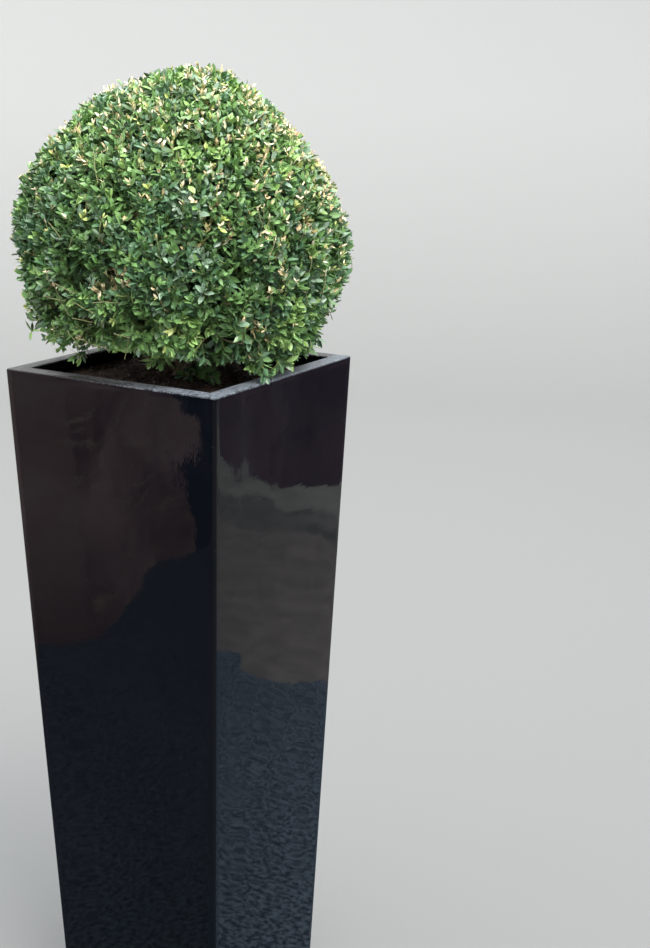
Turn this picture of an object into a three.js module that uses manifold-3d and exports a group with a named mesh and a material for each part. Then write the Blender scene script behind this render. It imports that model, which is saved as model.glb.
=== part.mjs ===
// Clipped box ball growing in a tall tapered square planter of gloss black moulded plastic.
// Millimetres, +Z up. The origin is the centre of the planter's flat underside.
// -Y is the front: the broad face that looks half left at a viewer standing before the near corner.
//
// The planter is one moulded shell: a square that tapers from rim to foot, with a rim that
// returns inwards and a thin wall below it. Compost fills it to a little below the rim. A short flared stem
// stands on the compost, forks at once into low boughs, and runs up into a pocket in the clipped crown.
// The crown is a single clipped mass: a sphere with the flats and swellings that hand shears leave, cut off
// nearly level just above the rim.
import * as THREE from "three";
import { mergeVertices } from "three/addons/utils/BufferGeometryUtils.js";
import Module from "manifold-3d";

const wasm = await Module();
wasm.setup();

// ---- planter ----
const PLANTER_H = 1120; // ground to rim
const RIM_W = 380; // across the rim, outside
const FOOT_W = 296; // across the foot, outside
const WALL = 8;
const FLOOR = 12;
const LIP_W = 27; // how far the rim returns inwards
const LIP_H = 16; // its inner face
const LIP_SPLAY = 6; // the slope under it
const CORNER_R = 5; // upright edges
const EDGE_R = 3; // rim's and foot's edges
const INNER_R = 6; // the hollow's upright corners
const MOUTH_R = 4; // the mouth's upright corners
const CORNER_STEPS = 4;
const EDGE_STEPS = 3;
const GAP = 0.4; // clearance between pieces that touch

// ---- compost ----
const SOIL_DROP = 24; // rim down to the compost
const SOIL_Z = PLANTER_H - SOIL_DROP;

// ---- crown ----
const CROWN_Z = 1302.5; // centre of the clipped sphere
const CROWN_R = 253.5; // to the leaf tips
const CROWN_DETAIL = 15; // icosahedron subdivision
const UNDER_Z = 1150.5; // the cut-off underside, on the axis
const UNDER_SLOPE = 0.055; // how it rises to the viewed left
const UNDER_SOFT = 26; // how softly the side turns into the underside
const BUMP_COUNT = 70; // small swellings all over
const BUMP_SHARE = 0.007; // their height as a share of the radius
const BUMP_DEG = 13;

// The face that the crown is seen from: its right-hand direction in plan, used to place the flats and swellings.
const VIEW_DEG = -54.2; // from +X to the viewer
const RIGHT = new THREE.Vector3(
  -Math.sin(THREE.MathUtils.degToRad(VIEW_DEG)),
  Math.cos(THREE.MathUtils.degToRad(VIEW_DEG)),
  0,
);
const TOWARDS = new THREE.Vector3(
  Math.cos(THREE.MathUtils.degToRad(VIEW_DEG)),
  Math.sin(THREE.MathUtils.degToRad(VIEW_DEG)),
  0,
);

// Flats (negative) and swellings (positive) of the clipping: turn round the viewed outline in degrees from the
// right-hand side, lean towards the viewer in degrees, height as a share of the radius, spread in degrees.
const LOBES = [
  { turn: -44, lean: 5, share: 0.05, spread: 13 },
  { turn: -22, lean: 5, share: -0.03, spread: 15 },
  { turn: -4, lean: 5, share: 0.036, spread: 13 },
  { turn: 14, lean: 0, share: -0.022, spread: 12 },
  { turn: 43, lean: 0, share: -0.067, spread: 20 },
  { turn: 62, lean: 0, share: 0.009, spread: 13 },
  { turn: 79, lean: 0, share: 0.046, spread: 15 },
  { turn: 105, lean: 0, share: -0.006, spread: 22 },
  { turn: 135, lean: 5, share: -0.026, spread: 24 },
  { turn: 160, lean: 0, share: 0.003, spread: 18 },
  { turn: 190, lean: 0, share: -0.04, spread: 15 },
  { turn: 211, lean: 5, share: 0.034, spread: 13 },
  { turn: 226, lean: 5, share: -0.088, spread: 15 },
  { turn: 60, lean: 58, share: -0.016, spread: 26 },
  { turn: -120, lean: 60, share: 0.016, spread: 28 },
  { turn: -30, lean: 55, share: 0.014, spread: 24 },
  { turn: 100, lean: -50, share: -0.02, spread: 28 },
  { turn: -20, lean: -60, share: 0.018, spread: 30 },
  { turn: 200, lean: -50, share: 0.012, spread: 26 },
];

// ---- stem and boughs ----
const STEM_FLARE_R = 21;
const STEM_R = 13;
const STEM_TOP_R = 9;
const STEM_TOP_Z = 1236;
const STEM_FLARE_H = 18;
const STEM_LEAN = 7; // sideways travel from foot to top
const STEM_SIDES = 16;
const FLARE_LOBES = 5;
const BOUGHS = 4;
const BOUGH_R = 6.5;
const BOUGH_TIP_R = 4.8;
const BOUGH_FORK_Z = 1106; // where they leave the stem
const BOUGH_RISE = 56; // straight up to where they would end inside the crown
const BOUGH_REACH = 92; // and outwards
const BOUGH_SIDES = 10;

const rad = THREE.MathUtils.degToRad;

// A repeatable stream of numbers from 0 to 1.
function stream(seed) {
  let s = seed >>> 0;
  return () => {
    s = (s + 0x6d2b79f5) >>> 0;
    let t = Math.imul(s ^ (s >>> 15), 1 | s);
    t = (t + Math.imul(t ^ (t >>> 7), 61 | t)) ^ t;
    return ((t ^ (t >>> 14)) >>> 0) / 4294967296;
  };
}

// ---- solids from rings ----

// Rings of equal length, each anticlockwise seen from the end that the loft runs to.
function loft(rings) {
  const n = rings[0].length;
  const pos = [];
  for (const ring of rings) for (const p of ring) pos.push(p.x, p.y, p.z);
  const index = [];
  for (let i = 0; i + 1 < rings.length; i++)
    for (let j = 0; j < n; j++) {
      const a = i * n + j,
        b = i * n + ((j + 1) % n);
      index.push(a, b, b + n, a, b + n, a + n);
    }
  const cap = (ring, base, forward) => {
    const c = ring
      .reduce((s, p) => s.add(p), new THREE.Vector3())
      .divideScalar(n);
    const at = pos.length / 3;
    pos.push(c.x, c.y, c.z);
    for (let j = 0; j < n; j++) {
      const a = base + j,
        b = base + ((j + 1) % n);
      index.push(...(forward ? [at, a, b] : [at, b, a]));
    }
  };
  cap(rings[0], 0, false);
  cap(rings[rings.length - 1], (rings.length - 1) * n, true);
  const g = new THREE.BufferGeometry();
  g.setAttribute("position", new THREE.Float32BufferAttribute(pos, 3));
  g.setIndex(index);
  return g;
}

function squareRing(half, r, z) {
  const pts = [];
  for (let k = 0; k < 4; k++) {
    const a0 = -Math.PI / 4 + (k * Math.PI) / 2 - Math.PI / 4;
    const cx = Math.SQRT2 * (half - r) * Math.cos(a0 + Math.PI / 4);
    const cy = Math.SQRT2 * (half - r) * Math.sin(a0 + Math.PI / 4);
    for (let i = 0; i <= CORNER_STEPS; i++) {
      const a = a0 + ((Math.PI / 2) * i) / CORNER_STEPS;
      pts.push(
        new THREE.Vector3(cx + r * Math.cos(a), cy + r * Math.sin(a), z),
      );
    }
  }
  return pts;
}

function toSolid(geometry) {
  const g = new THREE.BufferGeometry().setAttribute(
    "position",
    geometry.getAttribute("position").clone(),
  );
  if (geometry.index) g.setIndex(geometry.index.clone());
  const m = mergeVertices(g, 1e-3);
  return new wasm.Manifold(
    new wasm.Mesh({
      numProp: 3,
      vertProperties: new Float32Array(m.attributes.position.array),
      triVerts: new Uint32Array(m.index.array),
    }),
  );
}

function toGeometry(solid) {
  const m = solid.getMesh();
  const g = new THREE.BufferGeometry();
  g.setAttribute(
    "position",
    new THREE.BufferAttribute(new Float32Array(m.vertProperties), 3),
  );
  g.setIndex(new THREE.BufferAttribute(new Uint32Array(m.triVerts), 1));
  g.computeVertexNormals();
  return g;
}

// ---- planter ----

const outerHalf = (z) => (FOOT_W + ((RIM_W - FOOT_W) * z) / PLANTER_H) / 2;
const innerHalf = (z) => outerHalf(z) - WALL;
const mouthHalf = RIM_W / 2 - LIP_W;

function planterSolid() {
  const rings = [];
  for (let i = 0; i <= EDGE_STEPS; i++) {
    const a = ((Math.PI / 2) * i) / EDGE_STEPS;
    const z = EDGE_R * (1 - Math.sin(a));
    rings.unshift(
      squareRing(outerHalf(z) - EDGE_R * (1 - Math.cos(a)), CORNER_R - EDGE_R * (1 - Math.cos(a)), z),
    );
  }
  for (let i = 0; i <= EDGE_STEPS; i++) {
    const a = ((Math.PI / 2) * i) / EDGE_STEPS;
    const z = PLANTER_H - EDGE_R * (1 - Math.sin(a));
    rings.push(
      squareRing(outerHalf(z) - EDGE_R * (1 - Math.cos(a)), CORNER_R - EDGE_R * (1 - Math.cos(a)), z),
    );
  }
  const lipFoot = PLANTER_H - LIP_H;
  const cavity = [
    squareRing(innerHalf(FLOOR), INNER_R, FLOOR),
    squareRing(innerHalf(lipFoot - LIP_SPLAY), INNER_R, lipFoot - LIP_SPLAY),
    squareRing(mouthHalf, MOUTH_R, lipFoot),
    squareRing(mouthHalf, MOUTH_R, PLANTER_H - EDGE_R),
    squareRing(mouthHalf + EDGE_R * 0.3, MOUTH_R + EDGE_R * 0.3, PLANTER_H - EDGE_R * 0.3),
    squareRing(mouthHalf + EDGE_R, MOUTH_R + EDGE_R, PLANTER_H),
    squareRing(mouthHalf + EDGE_R, MOUTH_R + EDGE_R, PLANTER_H + 5),
  ];
  return toSolid(loft(rings)).subtract(toSolid(loft(cavity)));
}

function soilSolid() {
  const z0 = FLOOR + GAP;
  return toSolid(
    loft([
      squareRing(innerHalf(z0) - GAP, INNER_R, z0),
      squareRing(innerHalf(SOIL_Z) - GAP, INNER_R, SOIL_Z),
    ]),
  );
}

// ---- crown ----

function lobeDirection({ turn, lean }) {
  return new THREE.Vector3()
    .addScaledVector(RIGHT, Math.cos(rad(turn)) * Math.cos(rad(lean)))
    .addScaledVector(TOWARDS, Math.sin(rad(lean)))
    .add(new THREE.Vector3(0, 0, Math.sin(rad(turn)) * Math.cos(rad(lean))))
    .normalize();
}

const swellings = LOBES.map((l) => ({
  at: lobeDirection(l),
  share: l.share,
  spread: rad(l.spread),
}));
{
  const next = stream(4711);
  for (let i = 0; i < BUMP_COUNT; i++) {
    // an even spiral over the sphere, nudged
    const z = 1 - (2 * (i + 0.5)) / BUMP_COUNT;
    const a = i * 2.399963 + next() * 0.6;
    const r = Math.sqrt(1 - z * z);
    swellings.push({
      at: new THREE.Vector3(r * Math.cos(a), r * Math.sin(a), z),
      share: BUMP_SHARE * (next() * 2 - 1),
      spread: rad(BUMP_DEG * (0.7 + 0.6 * next())),
    });
  }
}

function crownRadius(d) {
  let share = 1;
  for (const s of swellings) {
    const angle = Math.acos(THREE.MathUtils.clamp(d.dot(s.at), -1, 1));
    if (angle < s.spread * 3)
      share += s.share * Math.exp(-((angle / s.spread) ** 2));
  }
  const side = CROWN_R * share;
  // the nearly level underside, met softly
  const fall = d.z + UNDER_SLOPE * d.dot(RIGHT);
  if (fall >= -0.05) return side;
  const under = (UNDER_Z - CROWN_Z) / fall;
  const h = THREE.MathUtils.clamp(0.5 + (0.5 * (under - side)) / UNDER_SOFT, 0, 1);
  return side * h + under * (1 - h) - UNDER_SOFT * h * (1 - h) * 0.5;
}

function crownSolid() {
  const g = new THREE.IcosahedronGeometry(1, CROWN_DETAIL);
  g.deleteAttribute("normal");
  g.deleteAttribute("uv");
  const m = mergeVertices(g, 1e-4);
  const p = m.attributes.position;
  const d = new THREE.Vector3();
  for (let i = 0; i < p.count; i++) {
    d.fromBufferAttribute(p, i).normalize();
    const r = crownRadius(d);
    p.setXYZ(i, d.x * r, d.y * r, CROWN_Z + d.z * r);
  }
  return toSolid(m);
}

// ---- stem and boughs ----

function stemRing(z, r, grow, flare) {
  const share = (z - SOIL_Z) / (STEM_TOP_Z - SOIL_Z);
  const cx = STEM_LEAN * share * share;
  const cy = -STEM_LEAN * 0.6 * share;
  const pts = [];
  for (let j = 0; j < STEM_SIDES; j++) {
    const a = (2 * Math.PI * j) / STEM_SIDES;
    const lobed = r * (1 + 0.16 * flare * Math.cos(FLARE_LOBES * a + 0.7)) + grow;
    pts.push(
      new THREE.Vector3(cx + lobed * Math.cos(a), cy + lobed * Math.sin(a), z),
    );
  }
  return pts;
}

function stemSolid(grow = 0, ends = 0) {
  const foot = SOIL_Z + GAP;
  const rings = [];
  const steps = 4;
  for (let i = 0; i <= steps; i++) {
    const t = i / steps;
    const flare = (1 - t) ** 2;
    rings.push(
      stemRing(
        foot + STEM_FLARE_H * t - (i === 0 ? ends : 0),
        STEM_R + (STEM_FLARE_R - STEM_R) * flare,
        grow,
        flare,
      ),
    );
  }
  const rise = 5;
  for (let i = 1; i <= rise; i++) {
    const t = i / rise;
    const z = foot + STEM_FLARE_H + (STEM_TOP_Z - foot - STEM_FLARE_H) * t;
    rings.push(
      stemRing(z + (i === rise ? ends : 0), STEM_R + (STEM_TOP_R - STEM_R) * t, grow, 0),
    );
  }
  return toSolid(loft(rings));
}

function boughSolid(k, crown, stem) {
  const a = rad(38 + (360 / BOUGHS) * k + (k % 2 ? 11 : -7));
  const out = new THREE.Vector3(Math.cos(a), Math.sin(a), 0);
  const side = new THREE.Vector3(-out.y, out.x, 0);
  const up = new THREE.Vector3(0, 0, 1);
  const start = new THREE.Vector3(0, 0, BOUGH_FORK_Z);
  const mid = start
    .clone()
    .addScaledVector(out, BOUGH_REACH * 0.5)
    .addScaledVector(up, BOUGH_RISE * 0.3);
  const end = start
    .clone()
    .addScaledVector(out, BOUGH_REACH)
    .addScaledVector(up, BOUGH_RISE);
  const curve = new THREE.QuadraticBezierCurve3(start, mid, end);
  const rings = [];
  const steps = 5;
  for (let i = 0; i <= steps; i++) {
    const t = i / steps;
    const at = curve.getPoint(t);
    const along = curve.getTangent(t);
    const across = new THREE.Vector3().crossVectors(along, side).normalize();
    const r = BOUGH_R + (BOUGH_TIP_R - BOUGH_R) * t;
    const pts = [];
    for (let j = 0; j < BOUGH_SIDES; j++) {
      const b = (2 * Math.PI * j) / BOUGH_SIDES;
      pts.push(
        at
          .clone()
          .addScaledVector(side, r * Math.cos(b))
          .addScaledVector(across, -r * Math.sin(b)),
      );
    }
    rings.push(pts);
  }
  let solid = toSolid(loft(rings));
  if (solid.volume() < 0) {
    solid = toSolid(loft(rings.map((r) => r.slice().reverse())));
  }
  return solid
    .subtract(stem)
    .subtract(crown.translate([0, 0, -GAP * 1.5]))
    .decompose()
    .sort((p, q) => q.volume() - p.volume())[0];
}

// ---- the scene graph ----

const finish = {
  planter: new THREE.MeshStandardMaterial({ color: 0x0c0d10, roughness: 0.12, metalness: 0 }),
  soil: new THREE.MeshStandardMaterial({ color: 0x2a201a, roughness: 0.95, metalness: 0 }),
  bark: new THREE.MeshStandardMaterial({ color: 0x7d6f58, roughness: 0.85, metalness: 0 }),
  leaves: new THREE.MeshStandardMaterial({ color: 0x3f6a35, roughness: 0.55, metalness: 0 }),
};

const group = new THREE.Group();

function add(name, solid, material) {
  const mesh = new THREE.Mesh(toGeometry(solid), material);
  mesh.name = name;
  group.add(mesh);
}

const wholeCrown = crownSolid();
const pocket = stemSolid(GAP, GAP);
const crown = wholeCrown.subtract(pocket);
const stem = stemSolid();

add("planter", planterSolid(), finish.planter);
add("compost", soilSolid(), finish.soil);
add("stem", stem, finish.bark);
for (let k = 0; k < BOUGHS; k++)
  add(`bough_${k + 1}`, boughSolid(k, wholeCrown, pocket), finish.bark);
add("clipped_crown", crown, finish.leaves);

export default group;
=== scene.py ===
import math

import bmesh
import bpy
import numpy as np
from mathutils import Matrix, Vector, kdtree
from mathutils.bvhtree import BVHTree


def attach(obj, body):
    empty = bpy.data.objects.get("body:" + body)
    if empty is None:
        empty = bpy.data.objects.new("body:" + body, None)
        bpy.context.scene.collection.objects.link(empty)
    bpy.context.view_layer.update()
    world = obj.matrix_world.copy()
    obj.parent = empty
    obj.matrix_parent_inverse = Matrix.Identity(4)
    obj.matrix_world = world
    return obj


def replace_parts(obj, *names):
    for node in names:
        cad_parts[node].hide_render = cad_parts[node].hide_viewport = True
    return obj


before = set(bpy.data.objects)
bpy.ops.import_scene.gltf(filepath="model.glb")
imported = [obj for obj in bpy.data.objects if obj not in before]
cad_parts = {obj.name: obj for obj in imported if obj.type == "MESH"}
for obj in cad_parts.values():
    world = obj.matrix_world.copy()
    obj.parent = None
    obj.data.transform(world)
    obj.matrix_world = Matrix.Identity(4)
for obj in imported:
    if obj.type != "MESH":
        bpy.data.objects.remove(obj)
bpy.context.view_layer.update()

BODY = "root"
rng = np.random.default_rng(20417)
UP = np.array([0.0, 0.0, 1.0])


# ------------------------------------------------------------------ camera
PITCH, ROLL = math.radians(15.169), 0.01196
look = np.array([-0.5030, 0.8643, 0.0])
look /= np.linalg.norm(look)
forward = look * math.cos(PITCH) - UP * math.sin(PITCH)
right0 = np.array([look[1], -look[0], 0.0])
up0 = np.cross(right0, forward)
cam_right = math.cos(ROLL) * right0 + math.sin(ROLL) * up0
cam_up = -math.sin(ROLL) * right0 + math.cos(ROLL) * up0

camera = bpy.data.objects.new("camera", bpy.data.cameras.new("camera"))
bpy.context.scene.collection.objects.link(camera)
camera.data.sensor_fit = "AUTO"
camera.data.sensor_width = 36.0
camera.data.lens = 54.72
camera.data.clip_start, camera.data.clip_end = 0.05, 100.0
pose = Matrix([list(cam_right), list(cam_up), list(-forward)]).transposed().to_4x4()
pose.translation = Vector((1.2887, -1.7774, 1.5363))
camera.matrix_world = pose
bpy.context.scene.camera = camera

# the viewed outline's right-hand direction, and the one towards the viewer, in plan
VIEW = math.radians(-54.2)
RIGHT = np.array([-math.sin(VIEW), math.cos(VIEW), 0.0])
TOWARDS = np.array([math.cos(VIEW), math.sin(VIEW), 0.0])


# ------------------------------------------------------------------ small tools
def unit(v):
    v = np.asarray(v, float)
    return v / np.maximum(np.linalg.norm(v, axis=-1, keepdims=True), 1e-12)


def srgb(r, g, b):
    return tuple(
        (c / 12.92 if c <= 0.04045 else ((c + 0.055) / 1.055) ** 2.4)
        for c in (r / 255, g / 255, b / 255)
    )


def waves(seed, count=14):
    """A smooth field in space, about -1 to 1: a sum of plane waves of one length."""
    r = np.random.default_rng(seed)
    k = unit(r.normal(size=(count, 3))) * r.uniform(0.7, 1.35, size=(count, 1))
    ph = r.uniform(0, 2 * np.pi, size=count)

    def field(p, size):
        return np.cos(np.asarray(p) @ (k.T * 2 * np.pi / size) + ph).sum(-1) * math.sqrt(2 / count) / 1.6

    return field


def mesh_object(name, verts, faces, smooth=True, material=None):
    """faces is an (n, 3) or (n, 4) array, or a list of such arrays."""
    groups = faces if isinstance(faces, list) else [faces]
    groups = [g for g in groups if len(g)]
    mesh = bpy.data.meshes.new(name)
    verts = np.asarray(verts, np.float32)
    mesh.vertices.add(len(verts))
    mesh.vertices.foreach_set("co", verts.ravel())
    loops = np.concatenate([g.ravel() for g in groups]).astype(np.int32)
    sizes = np.concatenate([np.full(len(g), g.shape[1]) for g in groups])
    starts = np.concatenate([[0], np.cumsum(sizes)[:-1]]).astype(np.int32)
    mesh.loops.add(len(loops))
    mesh.loops.foreach_set("vertex_index", loops)
    mesh.polygons.add(len(sizes))
    mesh.polygons.foreach_set("loop_start", starts)
    mesh.update(calc_edges=True)
    mesh.validate()
    mesh.polygons.foreach_set("use_smooth", np.full(len(mesh.polygons), smooth))
    mesh.update()
    obj = bpy.data.objects.new(name, mesh)
    bpy.context.scene.collection.objects.link(obj)
    if material:
        mesh.materials.append(material)
    return obj


def tubes(points, radii, sides, ridges=None):
    """points (n, k, 3), radii (n, k): n tubes of k rings each. Returns verts, quads."""
    n, k, _ = points.shape
    tan = np.gradient(points, axis=1)
    tan = unit(tan)
    mean = unit(points[:, -1] - points[:, 0])
    ref = np.where(np.abs(mean[:, 2:3]) > 0.8, np.array([[1.0, 0, 0]]), np.array([[0, 0, 1.0]]))
    u = unit(np.cross(tan, ref[:, None, :]))
    v = np.cross(tan, u)
    a = np.arange(sides) * 2 * np.pi / sides
    ring = radii[:, :, None] * np.ones(sides)
    if ridges is not None:
        ring = ring * ridges
    co = (
        points[:, :, None, :]
        + ring[..., None] * (np.cos(a)[None, None, :, None] * u[:, :, None, :] + np.sin(a)[None, None, :, None] * v[:, :, None, :])
    )
    idx = np.arange(n * k * sides).reshape(n, k, sides)
    q = np.stack(
        [idx[:, :-1], np.roll(idx[:, :-1], -1, 2), np.roll(idx[:, 1:], -1, 2), idx[:, 1:]], -1
    ).reshape(-1, 4)
    return co.reshape(-1, 3), q


def bezier(p0, p1, p2, k):
    t = np.linspace(0, 1, k)[None, :, None]
    return (1 - t) ** 2 * p0[:, None] + 2 * t * (1 - t) * p1[:, None] + t**2 * p2[:, None]


# ------------------------------------------------------------------ materials
def material(name):
    m = bpy.data.materials.new(name)
    m.use_nodes = True
    t = m.node_tree
    for n in list(t.nodes):
        t.nodes.remove(n)
    out = t.nodes.new("ShaderNodeOutputMaterial")
    s = t.nodes.new("ShaderNodeBsdfPrincipled")
    t.links.new(s.outputs[0], out.inputs[0])
    return m, t, s


class Graph:
    """Short names for making nodes."""

    def __init__(self, tree):
        self.t = tree

    def node(self, kind, **props):
        n = self.t.nodes.new(kind)
        for k, v in props.items():
            setattr(n, k, v)
        return n

    def link(self, a, b):
        self.t.links.new(a, b)

    def coords(self):
        return self.node("ShaderNodeTexCoord").outputs["Object"]

    def noise(self, vec, scale, detail=3.0, rough=0.55, out="Fac", distort=0.0):
        n = self.node("ShaderNodeTexNoise")
        n.inputs["Scale"].default_value = scale
        n.inputs["Detail"].default_value = detail
        n.inputs["Roughness"].default_value = rough
        n.inputs["Distortion"].default_value = distort
        self.link(vec, n.inputs["Vector"])
        return n.outputs[out]

    def stretch(self, vec, x, y, z):
        n = self.node("ShaderNodeMapping")
        n.inputs["Scale"].default_value = (x, y, z)
        self.link(vec, n.inputs["Vector"])
        return n.outputs[0]

    def ramp(self, fac, *stops):
        n = self.node("ShaderNodeValToRGB")
        e = n.color_ramp.elements
        while len(e) > 1:
            e.remove(e[-1])
        e[0].position, e[0].color = stops[0][0], (*stops[0][1], 1)
        for pos, col in stops[1:]:
            x = e.new(pos)
            x.color = (*col, 1)
        self.link(fac, n.inputs[0])
        return n.outputs[0]

    def span(self, value, lo, hi, to_lo=0.0, to_hi=1.0):
        n = self.node("ShaderNodeMapRange", clamp=True)
        for key, x in zip(("From Min", "From Max", "To Min", "To Max"), (lo, hi, to_lo, to_hi)):
            n.inputs[key].default_value = x
        self.link(value, n.inputs["Value"])
        return n.outputs[0]

    def math(self, op, a, b=None):
        n = self.node("ShaderNodeMath", operation=op)
        for i, x in enumerate((a, b)):
            if x is None:
                continue
            if isinstance(x, (int, float)):
                n.inputs[i].default_value = x
            else:
                self.link(x, n.inputs[i])
        return n.outputs[0]

    def mix(self, fac, a, b):
        n = self.node("ShaderNodeMix", data_type="RGBA")
        for key, x in ((0, fac), (6, a), (7, b)):
            if isinstance(x, (int, float)):
                n.inputs[key].default_value = x
            elif isinstance(x, tuple):
                n.inputs[key].default_value = (*x, 1)
            else:
                self.link(x, n.inputs[key])
        return n.outputs[2]

    def bump(self, height, strength, distance, normal=None):
        n = self.node("ShaderNodeBump")
        n.inputs["Strength"].default_value = strength
        n.inputs["Distance"].default_value = distance
        self.link(height, n.inputs["Height"])
        if normal is not None:
            self.link(normal, n.inputs["Normal"])
        return n.outputs[0]


def leaf_material(name, colour, rough=0.42, coat=0.12):
    m, t, s = material(name)
    s.inputs["Base Color"].default_value = (*colour, 1)
    s.inputs["Roughness"].default_value = rough
    s.inputs["Coat Weight"].default_value = coat
    s.inputs["Coat Roughness"].default_value = 0.3
    return m


def bark_material(name, dark, light, scale=1.0):
    m, t, s = material(name)
    g = Graph(t)
    co = g.coords()
    streaks = g.noise(g.stretch(co, 1, 1, 0.22), 260 * scale, 5, 0.6)
    blotch = g.noise(co, 45 * scale, 3)
    g.link(g.mix(g.span(blotch, 0.35, 0.65), g.ramp(streaks, (0.3, dark), (0.7, light)), g.ramp(streaks, (0.3, tuple(0.7 * c for c in dark)), (0.75, tuple(0.8 * c for c in light)))), s.inputs["Base Color"])
    g.link(g.span(streaks, 0.2, 0.8, 0.65, 0.95), s.inputs["Roughness"])
    g.link(g.bump(streaks, 0.7, 0.0012), s.inputs["Normal"])
    return m


# ------------------------------------------------------------------ the crown's clipped surface
CENTRE = np.array([0.0, 0.0, 1.3025])
crown_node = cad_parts["clipped_crown"]
tree = BVHTree.FromPolygons(
    [v.co.copy() for v in crown_node.data.vertices],
    [tuple(p.vertices) for p in crown_node.data.polygons],
)
N_PHI, N_TH = 192, 97
table = np.zeros((N_TH, N_PHI))
for i in range(N_TH):
    th = math.pi * i / (N_TH - 1)
    for j in range(N_PHI):
        ph = 2 * math.pi * j / N_PHI
        d = Vector((math.sin(th) * math.cos(ph), math.sin(th) * math.sin(ph), math.cos(th)))
        start = Vector(CENTRE) + d * 0.5
        hit = tree.ray_cast(start, -d)
        r = 0.5 - hit[3] if hit[0] is not None else 0.0
        table[i, j] = r if r > 0.09 else 0.0
for j in range(N_PHI):  # over the stem's pocket, the level of the underside around it
    col = table[:, j]
    for i in range(N_TH - 1, 0, -1):
        if col[i] == 0.0:
            continue
        z = col[i] * math.cos(math.pi * i / (N_TH - 1))
        for k in range(i + 1, N_TH):
            col[k] = z / math.cos(math.pi * k / (N_TH - 1))
        break


def reach(d):
    """How far the clipped surface is from the crown's centre along unit directions d (n, 3), in metres."""
    th = np.arccos(np.clip(d[:, 2], -1, 1)) / np.pi * (N_TH - 1)
    ph = (np.arctan2(d[:, 1], d[:, 0]) % (2 * np.pi)) / (2 * np.pi) * N_PHI
    i = np.clip(np.floor(th).astype(int), 0, N_TH - 2)
    j = np.floor(ph).astype(int) % N_PHI
    a, b = th - i, ph - np.floor(ph)
    k = (j + 1) % N_PHI
    return (
        table[i, j] * (1 - a) * (1 - b) + table[i + 1, j] * a * (1 - b) + table[i, k] * (1 - a) * b + table[i + 1, k] * a * b
    )


def surface_normal(d):
    e1 = unit(np.cross(d, np.where(np.abs(d[:, 2:3]) > 0.9, np.array([[1.0, 0, 0]]), UP[None])))
    e2 = np.cross(d, e1)
    s = 0.05
    p = d * reach(d)[:, None]
    d1, d2 = unit(d + s * e1), unit(d + s * e2)
    n = np.cross(d1 * reach(d1)[:, None] - p, d2 * reach(d2)[:, None] - p)
    n = unit(n)
    return n * np.sign((n * d).sum(1, keepdims=True))


def depth_of(p):
    """How deep points lie under the clipped surface, along the line to the crown's centre."""
    v = p - CENTRE
    r = np.linalg.norm(v, axis=1)
    return reach(v / r[:, None]) - r


def spiral(count, seed):
    r = np.random.default_rng(seed)
    i = np.arange(count)
    z = 1 - 2 * (i + 0.5) / count
    a = i * 2.399963
    q = np.sqrt(1 - z * z)
    d = np.stack([q * np.cos(a), q * np.sin(a), z], 1)
    return unit(d + r.normal(size=(count, 3)) * 0.55 / math.sqrt(count))


# ------------------------------------------------------------------ limbs: the branching rule
# Each level reaches for evenly spread targets further out, and grows from the nearest part of the level before.
STEM_FOOT, STEM_TOP = 1.0964, 1.236


def stem_axis(z):
    share = (z - 1.096) / (1.236 - 1.096)
    return np.stack([0.007 * share**2, -0.0042 * share, z], -1)


bough_lines = []
for k in range(4):
    a = math.radians(38 + 90 * k + (11 if k % 2 else -7))
    out = np.array([math.cos(a), math.sin(a), 0.0])
    s = np.array([0.0, 0.0, 1.106])
    m = s + out * 0.046 + UP * 0.0168
    e = s + out * 0.092 + UP * 0.056
    bough_lines.append(bezier(s[None], m[None], e[None], 9)[0])


class Level:
    """Points that the next level may grow from, with their directions and radii."""

    def __init__(self):
        self.p, self.t, self.r = [], [], []

    def add(self, lines, radii, skip=0):
        tan = unit(np.gradient(lines, axis=1))
        self.p.append(lines[:, skip:].reshape(-1, 3))
        self.t.append(tan[:, skip:].reshape(-1, 3))
        self.r.append(radii[:, skip:].reshape(-1))

    def close(self):
        self.p, self.t, self.r = np.concatenate(self.p), np.concatenate(self.t), np.concatenate(self.r)
        self.tree = kdtree.KDTree(len(self.p))
        for i, p in enumerate(self.p):
            self.tree.insert(p, i)
        self.tree.balance()

    def nearest(self, targets, inward):
        """The nearest point to each target, looked for from a little further in, so that growth runs outwards."""
        probe = targets - inward
        return np.array([self.tree.find(p)[1] for p in probe])


level0 = Level()
z = np.linspace(STEM_FOOT + 0.02, STEM_TOP, 9)
trunk = stem_axis(z)[None]
level0.add(trunk, np.linspace(0.013, 0.009, 9)[None], skip=2)
for b in bough_lines:
    level0.add(b[None], np.linspace(0.0065, 0.0048, 9)[None], skip=5)
level0.close()

# main limbs: on from the stem's top, from its sides and from the low boughs' ends
limb_targets, limb_from = [], []
for k in range(3):
    a = 0.7 + k * 2.1
    limb_targets.append(CENTRE + np.array([0.045 * math.cos(a), 0.045 * math.sin(a), 0.115]))
    limb_from.append(stem_axis(np.array([STEM_TOP]))[0])
for k in range(7):
    a = 0.2 + k * 2 * math.pi / 7
    limb_targets.append(CENTRE + np.array([0.12 * math.cos(a), 0.12 * math.sin(a), 0.02 + 0.03 * (k % 3)]))
    limb_from.append(stem_axis(np.array([STEM_FOOT + 0.06 + 0.012 * k]))[0])
for b in bough_lines:
    out = unit(b[-1] * np.array([1, 1, 0]))
    limb_targets.append(b[-1] + out * 0.075 + UP * 0.05)
    limb_from.append(b[-1])
limb_targets, limb_from = np.array(limb_targets), np.array(limb_from)
lean = np.where((np.arange(len(limb_targets)) < 10)[:, None], UP[None], unit(limb_targets - limb_from))
limb_mid = limb_from + lean * np.linalg.norm(limb_targets - limb_from, axis=1, keepdims=True) * 0.5
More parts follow.
